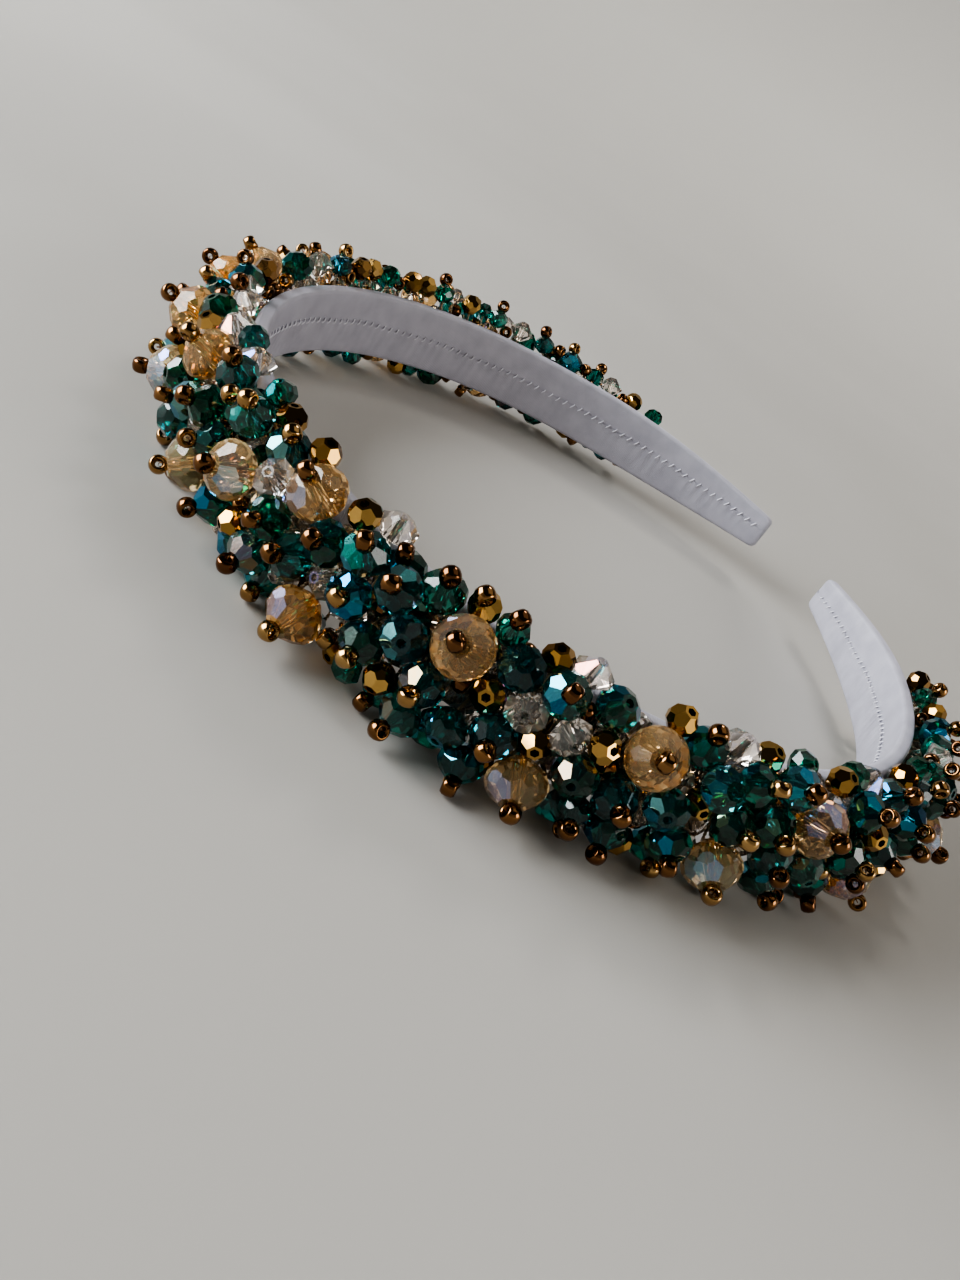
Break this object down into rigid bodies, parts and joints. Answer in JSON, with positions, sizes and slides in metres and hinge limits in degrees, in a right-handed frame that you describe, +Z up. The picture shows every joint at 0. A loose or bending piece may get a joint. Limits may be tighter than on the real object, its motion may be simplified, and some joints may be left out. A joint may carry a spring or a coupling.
{
  "type": "beaded headband",
  "caption": "Horseshoe headband wrapped in satin ribbon, its outer face covered in a thick fan of cut crystal beads on wires, with bare blunt tips.",
  "frame": {"origin": "centre of the box's bottom, on the surface that the headband lies on", "axes": "+Z up through the head's hollow, across the band's width; +Y from the open tips to the crown; +X to the crown's side that holds bead_field_left"},
  "size_m": [0.1512, 0.1502, 0.0231],
  "materials": {
    "ribbon": "lilac-white satin ribbon, soft sheen",
    "teal_crystal": "deep teal cut glass with a rainbow metallic coat",
    "champagne_crystal": "honey-coloured cut glass with a pale rainbow coat",
    "clear_crystal": "clear to smoky cut glass",
    "gold": "mirror-bright dark gold coat on cut glass",
    "bronze": "glossy copper-bronze coat on seed beads",
    "wire": "thin bare beading wire"
  },
  "bodies": {
    "root": {"band": "ribbon", "bead_field_left": "teal_crystal", "bead_field_right": "teal_crystal", "rondelle_01": "champagne_crystal", "rondelle_02": "champagne_crystal", "rondelle_03": "champagne_crystal", "rondelle_04": "champagne_crystal", "rondelle_05": "champagne_crystal", "rondelle_06": "champagne_crystal", "rondelle_07": "champagne_crystal", "rondelle_08": "champagne_crystal", "rondelle_09": "champagne_crystal", "rondelle_10": "champagne_crystal", "rondelle_11": "champagne_crystal", "rondelle_12": "champagne_crystal", "rondelle_13": "champagne_crystal", "rondelle_14": "champagne_crystal", "rondelle_15": "champagne_crystal", "rondelle_16": "champagne_crystal", "rondelle_17": "champagne_crystal", "rondelle_18": "champagne_crystal", "rondelle_19": "champagne_crystal", "rondelle_20": "champagne_crystal", "rondelle_21": "champagne_crystal", "rondelle_22": "champagne_crystal", "rondelle_23": "champagne_crystal", "rondelle_24": "champagne_crystal", "rondelle_25": "champagne_crystal", "rondelle_26": "champagne_crystal", "rondelle_27": "champagne_crystal", "rondelle_28": "champagne_crystal", "rondelle_29": "champagne_crystal"}
  },
  "joints": []
}
